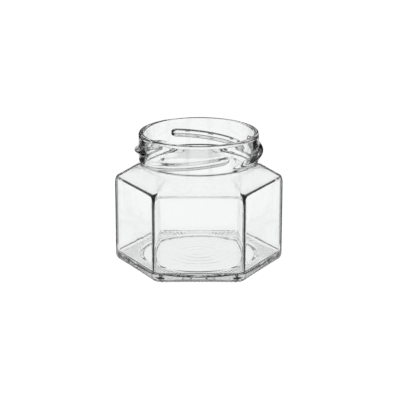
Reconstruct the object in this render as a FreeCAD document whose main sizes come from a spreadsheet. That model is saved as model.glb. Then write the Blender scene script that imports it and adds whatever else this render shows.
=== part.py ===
# Hexagonal glass jar with a four-lug twist-off mouth, one piece of clear pressed glass.
#
# Six flat panels stand on a rounded heel and meet a sloping shoulder, which closes in from the hexagon to a
# round throat. Above it the finish is a plain ring with a rounded lip and four sloping lugs for a twist-off
# cap. The inside follows the outside at a wall's distance, and the base is pushed up a little inside its
# bearing ring. Millimetres and degrees, +Z up, origin at the middle of the base, panels facing -Y and +Y.

import FreeCAD, Part
import math
import os

import Sketcher

# alias, value, what it is
DIMENSIONS = [
    ("overall_height", 55.0, "base to the top of the lip"),
    ("across_flats", 60.8, "outside, from panel to opposite panel"),
    ("corner_radius", 4.0, "outside, between two panels"),
    ("heel_radius", 2.6, "outside, panel to base"),
    ("shoulder_rise", 6.2, "top of the panels to the throat"),
    ("shoulder_radius", 2.0, "outside, panel to shoulder"),
    ("finish_height", 13.0, "throat to the top of the lip"),
    ("finish_radius", 24.6, "outside of the neck, between the lugs"),
    ("finish_wall", 2.3, "thickness of the neck"),
    ("finish_foot", 1.5, "height of the slope under the finish"),
    ("throat_depth", 1.3, "how far the throat lies inside the finish"),
    ("throat_rounding", 1.2, "radius of the hollow at the throat"),
    ("lip_radius", 1.0, "rounding of the lip, outside and inside"),
    ("panel_wall", 1.8, "thickness of a panel"),
    ("inner_corner_radius", 3.0, "inside, between two panels"),
    ("floor_thickness", 3.4, "thickness of the base at its bearing ring"),
    ("inner_heel_radius", 2.5, "inside, panel to floor"),
    ("inner_shoulder_drop", 0.2, "inside edge of the shoulder below the outside one"),
    ("inner_throat_drop", 1.2, "inside edge of the throat below the outside one"),
    ("ring_width", 7.0, "bearing ring, from the outside of a panel"),
    ("push_up", 1.0, "height of the pushed-up middle of the base"),
    ("push_up_slope", 2.0, "width of the slope round the pushed-up middle"),
    ("lug_count", 4, "lugs round the finish"),
    ("lug_turn", -59.0, "low end of the first lug, turned from -Y"),
    ("lug_span", 88.0, "turn from a lug's low end to its high end"),
    ("lug_lift", 0.9, "foot of the finish to the middle of a lug's low end"),
    ("lug_climb", 4.6, "low end to high end"),
    ("lug_reach", 1.7, "how far a lug stands out from the finish"),
    ("lug_width", 3.4, "height of a lug where it is widest"),
    ("lug_root", 0.8, "depth of a lug's root in the neck"),
]
START_VALUE = {alias: value for alias, value, _ in DIMENSIONS}

SIDES = 6
LUG_SECTIONS = 9  # sections that a lug is lofted through
LUG_TAPER = 0.75  # share of a lug's section that is lost at its ends
SAME_HEIGHT = 1e-4

# Places and sizes that several features share, as formulas over the spreadsheet.
THROAT_Z = "dims.overall_height - dims.finish_height"
FINISH_FOOT_Z = f"{THROAT_Z} + dims.finish_foot"
SHOULDER_Z = "dims.overall_height - dims.finish_height - dims.shoulder_rise"
THROAT_RADIUS = "dims.finish_radius - dims.throat_depth"
MOUTH_RADIUS = "dims.finish_radius - dims.finish_wall"
INNER_SHOULDER_Z = f"{SHOULDER_Z} - dims.inner_shoulder_drop"
INNER_THROAT_Z = f"{THROAT_Z} - dims.inner_throat_drop"
OUTER_APOTHEM = "dims.across_flats / 2"
INNER_APOTHEM = "dims.across_flats / 2 - dims.panel_wall"

# A sketch's points: the start, end and centre of a line or an arc, and its own origin and axes.
START, END, CENTRE = 1, 2, 3
ORIGIN = (-1, 1)
AXIS_X, AXIS_Y = -1, -2
MIDDLE, UP = FreeCAD.Vector(0, 0, 0), FreeCAD.Vector(0, 0, 1)


def make_sheet(doc):
    """The spreadsheet of driving dimensions, each cell with its alias and what it is."""
    sheet = doc.addObject("Spreadsheet::Sheet", "dims")
    for row, (alias, value, meaning) in enumerate(DIMENSIONS, start=1):
        sheet.set(f"A{row}", alias)
        sheet.set(f"B{row}", str(value))
        sheet.set(f"C{row}", meaning)
        sheet.setAlias(f"B{row}", alias)
    return sheet


def origin_feature(body, role):
    """The body's own origin plane or axis of that role."""
    return next(feature for feature in body.Origin.OriginFeatures if feature.Role == role)


def sketch_on(body, name, plane, height="0"):
    """A sketch on one of the body's origin planes, raised along its normal by a formula."""
    sketch = body.newObject("Sketcher::SketchObject", name)
    sketch.AttachmentSupport = [(origin_feature(body, plane), "")]
    sketch.MapMode = "FlatFace"
    sketch.setExpression("AttachmentOffset.Base.z", height)
    return sketch


def turn_in_place(sketch, axis, formula):
    """Turn a sketch about one of its own axes by a formula."""
    sketch.AttachmentOffset = FreeCAD.Placement(MIDDLE, FreeCAD.Rotation(axis, 1))
    sketch.setExpression("AttachmentOffset.Rotation.Angle", formula)


def bind(sketch, constraint, name, formula):
    """Add a constraint to the sketch, name it and give it its formula."""
    index = sketch.addConstraint(constraint)
    sketch.renameConstraint(index, name)
    sketch.setExpression(f"Constraints.{name}", formula)


def rounded_hexagon(sketch, apothem, radius):
    """Six lines joined by six equal arcs, whose centres stand evenly on a construction circle."""
    guess = START_VALUE["across_flats"] / 2
    rounding = START_VALUE["corner_radius"]
    half = math.pi / SIDES
    centre_circle = (guess - rounding) / math.cos(half)
    for side in range(SIDES):
        facing = 2 * math.pi * side / SIDES - math.pi / 2
        out = FreeCAD.Vector(math.cos(facing), math.sin(facing), 0)
        along = FreeCAD.Vector(-out.y, out.x, 0)
        reach = (guess - rounding) * math.tan(half)
        start, end = (out * guess + along * step for step in (-reach, reach))
        sketch.addGeometry(Part.LineSegment(start, end))
        corner = facing + half
        centre = FreeCAD.Vector(math.cos(corner), math.sin(corner), 0) * centre_circle
        corner_circle = Part.Circle(centre, UP, rounding)
        sketch.addGeometry(Part.ArcOfCircle(corner_circle, corner - half, corner + half))
    guide = sketch.addGeometry(Part.Circle(MIDDLE, UP, centre_circle), True)
    sketch.addConstraint(Sketcher.Constraint("Coincident", guide, CENTRE, *ORIGIN))
    sketch.addConstraint(Sketcher.Constraint("Horizontal", 0))
    for side in range(SIDES):
        line, arc = 2 * side, 2 * side + 1
        next_line = (line + 2) % (2 * SIDES)
        sketch.addConstraint(Sketcher.Constraint("Tangent", line, END, arc, START))
        sketch.addConstraint(Sketcher.Constraint("Tangent", arc, END, next_line, START))
        sketch.addConstraint(Sketcher.Constraint("PointOnObject", arc, CENTRE, guide))
        if side:
            sketch.addConstraint(Sketcher.Constraint("Equal", 1, arc))
            sketch.addConstraint(Sketcher.Constraint("Equal", 0, line))
    bind(sketch, Sketcher.Constraint("Radius", 1, rounding), "corner", radius)
    formula = f"({apothem} - {radius}) / cos(180deg / {SIDES})"
    bind(sketch, Sketcher.Constraint("Radius", guide, centre_circle), "corner_centres", formula)


def circle(sketch, radius):
    """One circle about the sketch's origin."""
    guess = START_VALUE["finish_radius"]
    ring = sketch.addGeometry(Part.Circle(MIDDLE, UP, guess))
    sketch.addConstraint(Sketcher.Constraint("Coincident", ring, CENTRE, *ORIGIN))
    bind(sketch, Sketcher.Constraint("Radius", ring, guess), "ring", radius)


def hexagon_to_circle(body, kind, names, heights, hexagon, radius):
    """A loft that closes in from a rounded hexagon to a circle above it.

    The hexagon is given as (apothem, corner radius). The circle starts over one end of a panel, so that the
    loft joins it to the hexagon without a twist. Returns the two sketches.
    """
    below = sketch_on(body, names[0], "XY_Plane", heights[0])
    rounded_hexagon(below, *hexagon)
    above = sketch_on(body, names[1], "XY_Plane", heights[1])
    apothem, rounding = hexagon
    half_panel = f"(({apothem} - {rounding}) * tan(180deg / {SIDES}))"
    turn_in_place(above, UP, f"-90deg - atan({half_panel} / ({apothem}))")
    circle(above, radius)
    loft(body, kind, names[2], [below, above])
    return below, above


def axis_profile(sketch, corners):
    """A closed outline of straight lines beside the jar's axis.

    Each corner is (radius, height), both formulas. A radius of None puts the corner on the axis, and a
    height of None puts it level with the base.
    """
    guess = [FreeCAD.Vector(index % 3, index, 0) for index in range(len(corners))]
    for here, there in zip(guess, guess[1:] + guess[:1]):
        sketch.addGeometry(Part.LineSegment(here, there))
    for index, (radius, height) in enumerate(corners):
        before = (index - 1) % len(corners)
        sketch.addConstraint(Sketcher.Constraint("Coincident", before, END, index, START))
        if radius is None:
            sketch.addConstraint(Sketcher.Constraint("PointOnObject", index, START, AXIS_Y))
        else:
            constraint = Sketcher.Constraint("DistanceX", *ORIGIN, index, START, 1.0)
            bind(sketch, constraint, f"radius_{index}", radius)
        if height is None:
            sketch.addConstraint(Sketcher.Constraint("PointOnObject", index, START, AXIS_X))
        else:
            constraint = Sketcher.Constraint("DistanceY", *ORIGIN, index, START, 1.0)
            bind(sketch, constraint, f"height_{index}", height)


def lug_section(body, index):
    """One section of a lug: a bulging arc on an upright chord, in a plane turned round the neck."""
    share = f"({index} / {LUG_SECTIONS - 1})"
    swell = f"(1 - {LUG_TAPER} * pow(2 * {share} - 1; 4))"
    depth = f"((dims.lug_root + dims.lug_reach) * {swell})"
    chord = f"(dims.lug_width * {swell})"
    sketch = sketch_on(body, f"lug_section_{index}", "XZ_Plane")
    turn_in_place(sketch, FreeCAD.Vector(0, 1, 0), f"dims.lug_turn - 90 + dims.lug_span * {share}")
    root = START_VALUE["finish_radius"] - START_VALUE["lug_root"]
    middle = START_VALUE["overall_height"] - START_VALUE["finish_height"]
    half = START_VALUE["lug_width"] / 2
    top, bottom = FreeCAD.Vector(root, middle + half, 0), FreeCAD.Vector(root, middle - half, 0)
    bulge = FreeCAD.Vector(START_VALUE["finish_radius"] + START_VALUE["lug_reach"], middle, 0)
    line = sketch.addGeometry(Part.LineSegment(top, bottom))
    arc = sketch.addGeometry(Part.Arc(bottom, bulge, top))
    sketch.addConstraint(Sketcher.Constraint("Coincident", line, END, arc, START))
    sketch.addConstraint(Sketcher.Constraint("Coincident", arc, END, line, START))
    sketch.addConstraint(Sketcher.Constraint("Vertical", line))
    root_radius = "dims.finish_radius - dims.lug_root"
    bind(sketch, Sketcher.Constraint("DistanceX", *ORIGIN, line, START, root), "root_radius", root_radius)
    height = f"{FINISH_FOOT_Z} + dims.lug_lift + dims.lug_climb * {share}"
    bind(sketch, Sketcher.Constraint("DistanceY", *ORIGIN, arc, CENTRE, middle), "middle_height", height)
    bind(sketch, Sketcher.Constraint("DistanceY", line, END, line, START, 2 * half), "chord", chord)
    bulge_radius = f"(pow({depth}; 2) + pow({chord} / 2; 2)) / (2 * {depth})"
    bind(sketch, Sketcher.Constraint("Radius", arc, 2 * half), "bulge", bulge_radius)
    return sketch


def pad(body, sketch, name, length):
    """A pad that rises from its sketch."""
    feature = body.newObject("PartDesign::Pad", name)
    feature.Profile = sketch
    feature.setExpression("Length", length)


def pocket_up(body, sketch, name, depth=None):
    """A pocket that cuts upwards from its sketch, by a depth or through all that is above."""
    feature = body.newObject("PartDesign::Pocket", name)
    feature.Profile = sketch
    feature.Reversed = True
    if depth is None:
        feature.Type = "ThroughAll"
    else:
        feature.setExpression("Length", depth)


def loft(body, kind, name, sketches):
    """A loft through the sketches that adds or cuts, as its kind says."""
    feature = body.newObject(f"PartDesign::{kind}", name)
    feature.Profile = sketches[0]
    feature.Sections = sketches[1:]
    return feature


def revolve(body, kind, name, sketch):
    """A full turn of an upright sketch about the jar's axis that adds or cuts, as its kind says."""
    feature = body.newObject(f"PartDesign::{kind}", name)
    feature.Profile = sketch
    feature.ReferenceAxis = (sketch, ["V_Axis"])
    feature.Angle = 360


def corner_heights(sketch):
    """The heights of a sketch's corners, lowest first."""
    return sorted({round(vertex.Z, 6) for vertex in sketch.Shape.Vertexes})


def round_level_edges(body, name, height, radius):
    """Fillet every edge that lies level at one height on the solid so far."""
    body.Document.recompute()
    solid = body.Tip
    names = [
        f"Edge{index}"
        for index, edge in enumerate(solid.Shape.Edges, start=1)
        if all(abs(point.z - height) < SAME_HEIGHT for point in edge.discretize(5))
    ]
    feature = body.newObject("PartDesign::Fillet", name)
    feature.Base = (solid, names)
    feature.setExpression("Radius", radius)


def outer_form(body):
    """The solid jar without its inside: panels, shoulder and neck, with their edges rounded."""
    panels = sketch_on(body, "panel_outline", "XY_Plane")
    rounded_hexagon(panels, OUTER_APOTHEM, "dims.corner_radius")
    pad(body, panels, "panels", SHOULDER_Z)
    names = ("shoulder_foot", "shoulder_top", "shoulder")
    hexagon = (OUTER_APOTHEM, "dims.corner_radius")
    shoulder_foot, _ = hexagon_to_circle(
        body, "AdditiveLoft", names, (SHOULDER_Z, THROAT_Z), hexagon, THROAT_RADIUS
    )
    neck = sketch_on(body, "neck_outline", "XZ_Plane")
    neck_corners = [
        (None, THROAT_Z),
        (THROAT_RADIUS, THROAT_Z),
        ("dims.finish_radius", FINISH_FOOT_Z),
        ("dims.finish_radius", "dims.overall_height"),
        (None, "dims.overall_height"),
    ]
    axis_profile(neck, neck_corners)
    revolve(body, "Revolution", "neck", neck)
    body.Document.recompute()
    throat, foot, _ = corner_heights(neck)
    round_level_edges(body, "heel", corner_heights(panels)[0], "dims.heel_radius")
    round_level_edges(body, "shoulder_edge", corner_heights(shoulder_foot)[0], "dims.shoulder_radius")
    round_level_edges(body, "throat_hollow", throat, "dims.throat_rounding")
    round_level_edges(body, "finish_foot_edge", foot, "dims.throat_rounding")
    return neck


def inside(body, neck):
    """The space inside, cut from the floor up through the mouth, with its edges and the lip rounded."""
    floor = sketch_on(body, "inside_floor", "XY_Plane", "dims.floor_thickness")
    rounded_hexagon(floor, INNER_APOTHEM, "dims.inner_corner_radius")
    pocket_up(body, floor, "inside_panels", f"{INNER_SHOULDER_Z} - dims.floor_thickness")
    body.Document.recompute()
    round_level_edges(body, "inside_heel", corner_heights(floor)[0], "dims.inner_heel_radius")
    names = ("inside_shoulder_foot", "inside_throat", "inside_shoulder")
    hexagon = (INNER_APOTHEM, "dims.inner_corner_radius")
    shoulder_foot, throat = hexagon_to_circle(
        body, "SubtractiveLoft", names, (INNER_SHOULDER_Z, INNER_THROAT_Z), hexagon, MOUTH_RADIUS
    )
    mouth = sketch_on(body, "mouth_outline", "XY_Plane", INNER_THROAT_Z)
    circle(mouth, MOUTH_RADIUS)
    pocket_up(body, mouth, "mouth")
    body.Document.recompute()
    shoulder_height = corner_heights(shoulder_foot)[0]
    round_level_edges(body, "inside_shoulder_edge", shoulder_height, "dims.shoulder_radius")
    round_level_edges(body, "inside_throat_edge", corner_heights(throat)[0], "dims.throat_rounding")
    round_level_edges(body, "lip", corner_heights(neck)[-1], "dims.lip_radius")


def pushed_up_base(body):
    """The shallow hollow under the middle of the base, which leaves a flat bearing ring round it."""
    outline = sketch_on(body, "push_up_outline", "XZ_Plane")
    ring_inside = f"{OUTER_APOTHEM} - dims.ring_width"
    corners = [
        (None, None),
        (ring_inside, None),
        (f"{ring_inside} - dims.push_up_slope", "dims.push_up"),
        (None, "dims.push_up"),
    ]
    axis_profile(outline, corners)
    revolve(body, "Groove", "pushed_up_base", outline)


def lugs(body):
    """One sloping lug lofted through its sections and repeated evenly round the neck."""
    sections = [lug_section(body, index) for index in range(LUG_SECTIONS)]
    first = loft(body, "AdditiveLoft", "lug", sections)
    pattern = body.newObject("PartDesign::PolarPattern", "lugs")
    pattern.Originals = [first]
    pattern.Axis = (origin_feature(body, "Z_Axis"), [""])
    pattern.Angle = 360
    pattern.setExpression("Occurrences", "dims.lug_count")
    body.Tip = pattern


def check(doc, body):
    """Stop if a feature failed or the jar isn't one valid solid."""
    doc.recompute()
    failed = [item.Name for item in doc.Objects if {"Invalid", "Error"} & set(item.State)]
    if failed:
        raise RuntimeError(f"features that failed: {failed}")
    sketches = [item for item in doc.Objects if item.isDerivedFrom("Sketcher::SketchObject")]
    loose = [sketch.Name for sketch in sketches if not sketch.FullyConstrained]
    if loose:
        raise RuntimeError(f"sketches that are not fully constrained: {loose}")
    shape = body.Shape
    if shape.isNull() or not shape.isValid() or len(shape.Solids) != 1:
        raise RuntimeError(f"{body.Label} is not one valid solid")


document = FreeCAD.newDocument("hexagonal_jar")
make_sheet(document)
jar = document.addObject("PartDesign::Body", "glass_jar")
jar.Label = "glass_jar"
neck_outline = outer_form(jar)
inside(jar, neck_outline)
pushed_up_base(jar)
lugs(jar)
check(document, jar)

os.makedirs("parts", exist_ok=True)
jar.Shape.exportStep(f"parts/{jar.Label}.step")
print(f"{jar.Label}: {jar.Shape.Volume / 1000:.2f} cm3 of glass")
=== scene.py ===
# A small hexagonal glass jar, open and empty, on a white table in a bright studio.

import bpy
import numpy as np
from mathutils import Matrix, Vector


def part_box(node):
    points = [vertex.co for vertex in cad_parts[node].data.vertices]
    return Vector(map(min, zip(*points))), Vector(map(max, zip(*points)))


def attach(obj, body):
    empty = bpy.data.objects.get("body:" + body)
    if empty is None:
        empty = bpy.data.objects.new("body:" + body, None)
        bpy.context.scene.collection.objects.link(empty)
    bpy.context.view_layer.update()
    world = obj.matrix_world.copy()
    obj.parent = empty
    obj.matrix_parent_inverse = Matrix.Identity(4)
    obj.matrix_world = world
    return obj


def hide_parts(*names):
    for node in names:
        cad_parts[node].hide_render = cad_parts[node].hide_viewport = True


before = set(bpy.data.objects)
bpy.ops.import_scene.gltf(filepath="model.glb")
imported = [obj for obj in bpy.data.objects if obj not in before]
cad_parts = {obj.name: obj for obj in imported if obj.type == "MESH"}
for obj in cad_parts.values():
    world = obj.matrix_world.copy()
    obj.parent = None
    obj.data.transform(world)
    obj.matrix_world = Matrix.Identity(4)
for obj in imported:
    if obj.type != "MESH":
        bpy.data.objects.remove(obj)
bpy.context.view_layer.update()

# ---------------------------------------------------------------------------------------------------------
# The glass. One piece of clear pressed and blown glass: six flat panels on a rounded heel, a shoulder that
# closes in to a round throat, and a finish with its lip and four lugs. The underside is pushed up in the
# middle, inside a bearing ring that is knurled so that the jar doesn't slide.
# ---------------------------------------------------------------------------------------------------------
MM = 0.001
TAU = 2 * np.pi
SIDES = 6
HALF_SIDE = TAU / SIDES / 2

node_low, node_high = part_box("glass_jar")
HEIGHT = node_high.z
APOTHEM = node_high.y
CORNER = 4.0 * MM
HEEL = 2.6 * MM
SHOULDER_EDGE = 1.3 * MM
SHOULDER_EDGE_AT_CORNER = 6.5 * MM
SHOULDER_SHARPNESS = 20.0

FINISH_HEIGHT = 13.0 * MM
FINISH_RADIUS = 24.6 * MM
FINISH_WALL = 2.3 * MM
FINISH_FOOT = 1.5 * MM
THROAT_DEPTH = 1.3 * MM
THROAT_ROUNDING = 1.2 * MM
LIP = 1.1 * MM
SHOULDER_RISE = 6.2 * MM
THROAT_Z = HEIGHT - FINISH_HEIGHT
SHOULDER_Z = THROAT_Z - SHOULDER_RISE

WALL = 1.8 * MM
INNER_CORNER = 2.55 * MM
INNER_HEEL = 1.2 * MM
INNER_SHOULDER_EDGE = 1.0 * MM
INNER_SHOULDER_DROP = 0.2 * MM
INNER_THROAT_EDGE = 3.0 * MM
INNER_THROAT_DROP = 1.2 * MM
FLOOR = 3.4 * MM
FLOOR_MIDDLE = 3.6 * MM
RING_WIDTH = 7.0 * MM
PUSH_UP = 1.0 * MM
PUSH_SLOPE = 1.3 * MM
PUSH_TOP_EDGE = 1.0 * MM
PUSH_FOOT_EDGE = 0.8 * MM
RIPPLE = 0.02 * MM
RIPPLE_STEP = 3.6 * MM
RIPPLE_MARGIN = 1.5 * MM
KNURLS = 120
KNURL_DEPTH = 0.25 * MM
KNURL_MARGIN = 0.4 * MM

COLUMNS = 480
COLUMN_CROWDING = 0.45  # share of an even step that the columns lose at the corners and gain on the panels


def rounded_hexagon(turn, apothem, corner):
    """Distance from the axis to a rounded hexagon in the direction of a turn from a panel's middle.

    On a flat it is the apothem over the cosine of the turn. On a corner it is the far crossing with the
    corner's circle, whose centre lies on the corner's own direction.
    """
    folded = np.abs((turn + HALF_SIDE) % (2 * HALF_SIDE) - HALF_SIDE)
    flat_end = np.arctan2((apothem - corner) * np.tan(HALF_SIDE), apothem)
    on_flat = apothem / np.cos(folded)
    centre = (apothem - corner) / np.cos(HALF_SIDE)
    off = HALF_SIDE - folded
    on_corner = centre * np.cos(off) + np.sqrt(np.maximum(corner**2 - (centre * np.sin(off)) ** 2, 0))
    return np.where(folded < flat_end, on_flat, on_corner)


def cornerness(turn, sharpness):
    """0 at the middle of a panel and 1 at a corner, rising late."""
    folded = np.abs((turn + HALF_SIDE) % (2 * HALF_SIDE) - HALF_SIDE)
    return (folded / HALF_SIDE) ** sharpness


def rounded_path(points, radii, arc_rows, run_rows):
    """Rows of a profile of straight runs with an arc at each inner point.

    points are (radius, height) pairs, each an array over the columns. At each point the two runs are joined
    by the arc that touches both, walked by turning one touching direction evenly into the other.
    """
    pts = [np.stack(np.broadcast_arrays(*p), axis=-1).astype(float) for p in points]
    rows = []
    last = pts[0]
    for k in range(1, len(pts) - 1):
        before, here, after = pts[k - 1], pts[k], pts[k + 1]
        u = before - here
        v = after - here
        u /= np.linalg.norm(u, axis=-1, keepdims=True)
        v /= np.linalg.norm(v, axis=-1, keepdims=True)
        half = np.arccos(np.clip((u * v).sum(-1), -1, 1)) / 2
        radius = np.broadcast_to(radii[k - 1], half.shape)
        middle_way = (u + v) / np.linalg.norm(u + v, axis=-1, keepdims=True)
        centre = here + middle_way * (radius / np.sin(half))[:, None]
        start = here + u * (radius / np.tan(half))[:, None]
        end = here + v * (radius / np.tan(half))[:, None]
        for share in np.arange(1, run_rows[k - 1]) / run_rows[k - 1]:
            rows.append(last + (start - last) * share)
        sweep = np.pi - 2 * half
        for share in np.arange(arc_rows[k - 1] + 1) / arc_rows[k - 1]:
            a = np.sin((1 - share) * sweep) / np.sin(sweep)
            b = np.sin(share * sweep) / np.sin(sweep)
            rows.append(centre + a[:, None] * (start - centre) + b[:, None] * (end - centre))
        last = end
    for share in np.arange(1, run_rows[-1]) / run_rows[-1]:
        rows.append(last + (pts[-1] - last) * share)
    rows = np.array(rows)
    return rows[..., 0], rows[..., 1]


LUG_COUNT = 4
LUG_START = np.radians(-59.0)
LUG_SPAN = np.radians(88.0)
LUG_LIFT = 0.9 * MM
LUG_CLIMB = 4.6 * MM
LUG_REACH = 1.7 * MM
LUG_HALF = 2.0 * MM
LUG_LOW_TAPER = 0.25  # share of a lug's length over which it swells
LUG_HIGH_TAPER = 0.08  # share of its length in the round high end
LUG_THIN_SHARE = 0.45  # half width at the tapered ends over the full one


def lug_ridge(turn, height):
    """How far the lugs stand out at a turn and a height.

    Each lug is a ridge (1 - x^2)^2 across, where x is the height from its middle line over its half width.
    The middle line climbs evenly with the turn, and the ridge swells from a point at the low end to a round
    high end.
    """
    out = np.zeros(np.broadcast(turn, height).shape)
    for number in range(LUG_COUNT):
        start = LUG_START + number * TAU / LUG_COUNT
        along = ((turn - start) % TAU) / LUG_SPAN
        rise = np.clip(along / LUG_LOW_TAPER, 0, 1)
        fall = np.clip((1 - along) / LUG_HIGH_TAPER, 0, 1)
        swell = np.sin(rise * np.pi / 2) * np.sqrt(np.clip(1 - (1 - fall) ** 2, 0, 1))
        swell = np.where(along < 1, swell, 0)
        middle = THROAT_Z + FINISH_FOOT + LUG_LIFT + LUG_CLIMB * along
        x = (height - middle) / (LUG_HALF * (LUG_THIN_SHARE + (1 - LUG_THIN_SHARE) * swell))
        out = np.maximum(out, LUG_REACH * swell * np.clip(1 - x**2, 0, None) ** 2)
    return out


def jar_surface():
    """The whole skin of the glass as rows of rings, from the middle of the underside to that of the floor.

    For each turn the profile is a path of straight runs and arcs. The hexagon gives its radii on the panels
    and a circle gives them from the throat up. The lugs are added on the outside, and faint round ripples and
    the knurling, both cosines, on the underside.
    """
    even = np.arange(COLUMNS) / COLUMNS * TAU
    turn = even + COLUMN_CROWDING / SIDES * np.sin(SIDES * even)
    outer = rounded_hexagon(turn, APOTHEM, CORNER)
    inner = rounded_hexagon(turn, APOTHEM - WALL, INNER_CORNER)
    swelling = (SHOULDER_EDGE_AT_CORNER - SHOULDER_EDGE) * cornerness(turn, SHOULDER_SHARPNESS)
    shoulder_edge = SHOULDER_EDGE + swelling
    throat = FINISH_RADIUS - THROAT_DEPTH
    mouth = FINISH_RADIUS - FINISH_WALL
    ring = APOTHEM - RING_WIDTH
    profile = [
        (0 * turn, PUSH_UP),
        (ring - PUSH_SLOPE + 0 * turn, PUSH_UP),
        (ring + 0 * turn, 0.0),
        (outer, 0.0),
        (outer, SHOULDER_Z),
        (throat + 0 * turn, THROAT_Z),
        (FINISH_RADIUS + 0 * turn, THROAT_Z + FINISH_FOOT),
        (FINISH_RADIUS + 0 * turn, HEIGHT),
        (mouth + 0 * turn, HEIGHT),
        (mouth + 0 * turn, THROAT_Z - INNER_THROAT_DROP),
        (inner, SHOULDER_Z - INNER_SHOULDER_DROP),
        (inner, FLOOR),
        (0 * turn, FLOOR_MIDDLE),
    ]
    radii = [PUSH_TOP_EDGE, PUSH_FOOT_EDGE, HEEL, shoulder_edge, THROAT_ROUNDING, THROAT_ROUNDING, LIP, LIP]
    radii += [INNER_THROAT_EDGE, INNER_SHOULDER_EDGE, INNER_HEEL]
    arc_rows = [3, 3, 8, 9, 5, 4, 7, 7, 5, 5, 9]
    run_rows = [24, 2, 10, 8, 5, 2, 48, 1, 6, 4, 8, 8]
    radius, height = rounded_path(profile, radii, arc_rows, run_rows)
    rows = np.arange(len(radius))[:, None]
    after_arc = np.cumsum(np.add(run_rows[:-1], arc_rows))  # the row that follows each arc
    underside = rows < after_arc[2]
    outside = rows < after_arc[5] + run_rows[6]
    flat_middle = np.clip(1 - (radius / (ring - PUSH_SLOPE - RIPPLE_MARGIN)) ** 2, 0, 1)
    height = height + np.where(underside, RIPPLE * flat_middle * np.cos(TAU * radius / RIPPLE_STEP), 0)
    across = (radius - ring - KNURL_MARGIN) / (outer - ring - 2 * KNURL_MARGIN)
    bar = np.clip(4 * across * (1 - across), 0, 1) ** 0.5
    height = height + np.where(underside, KNURL_DEPTH * bar * (0.5 - 0.5 * np.cos(KNURLS * turn)), 0)
    radius = radius + np.where(outside, lug_ridge(turn, height), 0)
    x = radius * np.sin(turn)
    y = -radius * np.cos(turn)
    return np.stack([x, y, height], axis=-1), PUSH_UP, FLOOR_MIDDLE


def skin_mesh(name, rings, first_z, last_z):
    """A closed mesh over rows of rings, with a point on the axis at each end."""
    rows, columns, _ = rings.shape
    points = np.concatenate([[[0, 0, first_z]], rings.reshape(-1, 3), [[0, 0, last_z]]])
    here = 1 + np.arange(rows * columns).reshape(rows, columns)
    ahead = np.roll(here, -1, axis=1)
    quads = np.stack([here[:-1], ahead[:-1], ahead[1:], here[1:]], axis=-1).reshape(-1, 4)
    first = np.stack([0 * here[0], ahead[0], here[0]], axis=-1)
    last = np.stack([here[-1], ahead[-1], 0 * here[0] + rows * columns + 1], axis=-1)
    mesh = bpy.data.meshes.new(name)
    mesh.from_pydata(points.tolist(), [], first.tolist() + quads.tolist() + last.tolist())
    mesh.shade_smooth()
    return mesh


glass_mesh = skin_mesh("jar_glass", *jar_surface())
jar = bpy.data.objects.new("jar_glass", glass_mesh)
bpy.context.scene.collection.objects.link(jar)

# Clear glass with the mould's faint waves, patches that are a little less bright, and a breath of colour.
GLASS_IOR = 1.52
GLASS_GREY = (0.6, 0.6, 0.6, 1)
GLASS_DENSITY = 4.0
WAVE_SCALE = 200.0
WAVE_DETAIL = 3.0
WAVE_STRENGTH = 0.5
WAVE_HEIGHT = 0.06 * MM
SMEAR_SCALE = 40.0
SMEAR_DETAIL = 5.0
SMEAR_START, SMEAR_FULL = 0.45, 0.8
ROUGHEST = 0.03
COLOURLESS = (1.0, 1.0, 1.0, 1)
FAINT_GREEN = (0.98, 0.995, 0.99, 1)
glass = bpy.data.materials.new("clear_flint_glass")
glass.use_nodes = True
nodes, links = glass.node_tree.nodes, glass.node_tree.links
nodes.clear()
output = nodes.new("ShaderNodeOutputMaterial")
shader = nodes.new("ShaderNodeBsdfPrincipled")
shader.inputs["IOR"].default_value = GLASS_IOR
shader.inputs["Transmission Weight"].default_value = 1.0
links.new(shader.outputs["BSDF"], output.inputs["Surface"])
place = nodes.new("ShaderNodeTexCoord")
waves = nodes.new("ShaderNodeTexNoise")
waves.inputs["Scale"].default_value = WAVE_SCALE
waves.inputs["Detail"].default_value = WAVE_DETAIL
links.new(place.outputs["Object"], waves.inputs["Vector"])
bump = nodes.new("ShaderNodeBump")
bump.inputs["Strength"].default_value = WAVE_STRENGTH
bump.inputs["Distance"].default_value = WAVE_HEIGHT
links.new(waves.outputs["Fac"], bump.inputs["Height"])
links.new(bump.outputs["Normal"], shader.inputs["Normal"])
smears = nodes.new("ShaderNodeTexNoise")
smears.inputs["Scale"].default_value = SMEAR_SCALE
smears.inputs["Detail"].default_value = SMEAR_DETAIL
links.new(place.outputs["Object"], smears.inputs["Vector"])
polish = nodes.new("ShaderNodeMapRange")
polish.inputs["From Min"].default_value = SMEAR_START
polish.inputs["From Max"].default_value = SMEAR_FULL
polish.inputs["To Max"].default_value = ROUGHEST
links.new(smears.outputs["Fac"], polish.inputs["Value"])
links.new(polish.outputs["Result"], shader.inputs["Roughness"])
tint = nodes.new("ShaderNodeMix")
tint.data_type = "RGBA"
tint.inputs["A"].default_value = COLOURLESS
tint.inputs["B"].default_value = FAINT_GREEN
links.new(smears.outputs["Fac"], tint.inputs["Factor"])
links.new(tint.outputs["Result"], shader.inputs["Base Color"])
absorb = nodes.new("ShaderNodeVolumeAbsorption")
absorb.inputs["Color"].default_value = GLASS_GREY
absorb.inputs["Density"].default_value = GLASS_DENSITY
links.new(absorb.outputs["Volume"], output.inputs["Volume"])
jar.data.materials.append(glass)

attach(jar, "root")
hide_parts("glass_jar")

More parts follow.
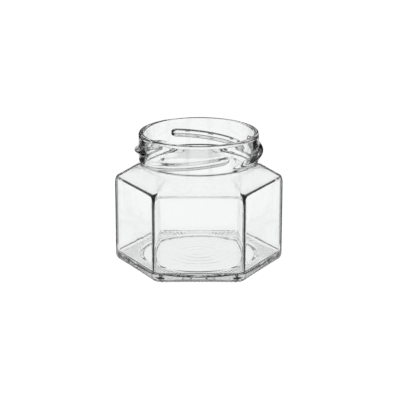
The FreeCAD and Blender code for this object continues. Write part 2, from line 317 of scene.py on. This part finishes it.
# ---------------------------------------------------------------------------------------------------------
# The table: a plain white sheet, lit so brightly that no shadow shows on it. Only the camera sees it, so that
# the light that comes through the glass is the studio's own.
# ---------------------------------------------------------------------------------------------------------
TABLE_HALF = 3.0
TABLE_LIGHT = 1.05
TABLE_GAP = 0.2 * MM  # the table lies this far under the base, so that the two don't share a plane
table_mesh = bpy.data.meshes.new("table")
table_corners = [(TABLE_HALF * x, TABLE_HALF * y, 0) for x, y in ((-1, -1), (1, -1), (1, 1), (-1, 1))]
table_mesh.from_pydata(table_corners, [], [(0, 1, 2, 3)])
table = bpy.data.objects.new("table", table_mesh)
bpy.context.scene.collection.objects.link(table)
table.location.z = -TABLE_GAP
table.visible_transmission = False
table.visible_glossy = False
table.visible_diffuse = False
white = bpy.data.materials.new("white_table")
white.use_nodes = True
nodes, links = white.node_tree.nodes, white.node_tree.links
nodes.clear()
output = nodes.new("ShaderNodeOutputMaterial")
glow = nodes.new("ShaderNodeEmission")
glow.inputs["Strength"].default_value = TABLE_LIGHT
links.new(glow.outputs["Emission"], output.inputs["Surface"])
table.data.materials.append(white)

# ---------------------------------------------------------------------------------------------------------
# The light: eight tall white panels stand evenly round the table with dark gaps between them. Dark cards on
# each side behind the jar, a dark strip just above the horizon and a dark floor under the table draw the
# jar's lines, and the ceiling is dimmer than the panels.
# ---------------------------------------------------------------------------------------------------------
world = bpy.data.worlds.new("studio")
bpy.context.scene.world = world
world.use_nodes = True
nodes, links = world.node_tree.nodes, world.node_tree.links
nodes.clear()


def maths(operation, *values):
    """A Math node in the world, fed by sockets or plain numbers."""
    node = nodes.new("ShaderNodeMath")
    node.operation = operation
    for socket, value in zip(node.inputs, values):
        if isinstance(value, (int, float)):
            socket.default_value = value
        else:
            links.new(value, socket)
    return node.outputs[0]


def ramp(value, low, high):
    """A smooth step from 0 at low to 1 at high."""
    node = nodes.new("ShaderNodeMapRange")
    node.interpolation_type = "SMOOTHSTEP"
    links.new(value, node.inputs["Value"])
    node.inputs["From Min"].default_value = low
    node.inputs["From Max"].default_value = high
    node.clamp = True
    return node.outputs["Result"]


SOFT_EDGE = 1.0  # degrees


def within(value, start, end):
    """1 from start to end and 0 outside, over a soft edge on both sides."""
    return maths("MULTIPLY", ramp(value, start - SOFT_EDGE, start), ramp(value, end + SOFT_EDGE, end))


PANELS = 8
PANEL_LIGHT = 0.93
STRAY_LIGHT = 0.02
CEILING_DIMMING = 0.3
GAP_LOBE, PANEL_LOBE = -0.93, -0.75  # cosine round a panel, where the gap ends and where the panel is full
CARD_START, CARD_END = 20.0, 54.0  # degrees round from straight behind the jar
CARD_BOTTOM, CARD_TOP = -20.0, 5.0  # degrees above the horizon, as in the next three lines
STRIP_BOTTOM, STRIP_TOP = 4.5, 13.5
FLOOR_DARK, FLOOR_LIT = -52.0, -46.0
CEILING_START, CEILING_FULL = 7.0, 9.0
DEGREES = 180 / np.pi  # in a radian
place = nodes.new("ShaderNodeTexCoord")
split = nodes.new("ShaderNodeSeparateXYZ")
links.new(place.outputs["Generated"], split.inputs[0])
azimuth = maths("ARCTAN2", split.outputs["X"], split.outputs["Y"])
off_middle = maths("MULTIPLY", maths("ABSOLUTE", azimuth), DEGREES)
elevation = maths("MULTIPLY", maths("ARCSINE", split.outputs["Z"]), DEGREES)
lobe = maths("COSINE", maths("MULTIPLY", azimuth, float(PANELS)))
panels = ramp(lobe, GAP_LOBE, PANEL_LOBE)
card_width = within(off_middle, CARD_START, CARD_END)
cards = maths("MULTIPLY", card_width, within(elevation, CARD_BOTTOM, CARD_TOP))
floor_dark = ramp(elevation, FLOOR_LIT, FLOOR_DARK)
strip = within(elevation, STRIP_BOTTOM, STRIP_TOP)
ceiling_dim = maths("MULTIPLY", ramp(elevation, CEILING_START, CEILING_FULL), CEILING_DIMMING)
light = panels
for dark in (cards, floor_dark, strip, ceiling_dim):
    light = maths("MULTIPLY", light, maths("SUBTRACT", 1.0, dark))
total = maths("ADD", maths("MULTIPLY", light, PANEL_LIGHT), STRAY_LIGHT)
path = nodes.new("ShaderNodeLightPath")
seen = maths("MAXIMUM", total, path.outputs["Is Camera Ray"])
background = nodes.new("ShaderNodeBackground")
background.inputs["Color"].default_value = (1, 1, 1, 1)
links.new(seen, background.inputs["Strength"])
output = nodes.new("ShaderNodeOutputWorld")
links.new(background.outputs[0], output.inputs["Surface"])

# ---------------------------------------------------------------------------------------------------------
# The camera: a long lens that looks a little down at the jar, square to its front panel.
# ---------------------------------------------------------------------------------------------------------
LENS = 131.4
SENSOR = 36.0
SHIFT_X, SHIFT_Y = 0.0029, -0.0109
NEAREST = 10 * MM
DISTANCE = 0.602
LOOK_DOWN = np.radians(17.0)
camera = bpy.data.objects.new("camera", bpy.data.cameras.new("camera"))
bpy.context.scene.collection.objects.link(camera)
camera.data.lens = LENS
camera.data.sensor_width = SENSOR
camera.data.shift_x = SHIFT_X
camera.data.shift_y = SHIFT_Y
camera.data.clip_start = NEAREST
camera.location = (0, -DISTANCE * np.cos(LOOK_DOWN), HEIGHT / 2 + DISTANCE * np.sin(LOOK_DOWN))
camera.rotation_euler = (np.pi / 2 - LOOK_DOWN, 0, 0)
bpy.context.scene.camera = camera
bpy.context.scene.view_settings.view_transform = "Standard"
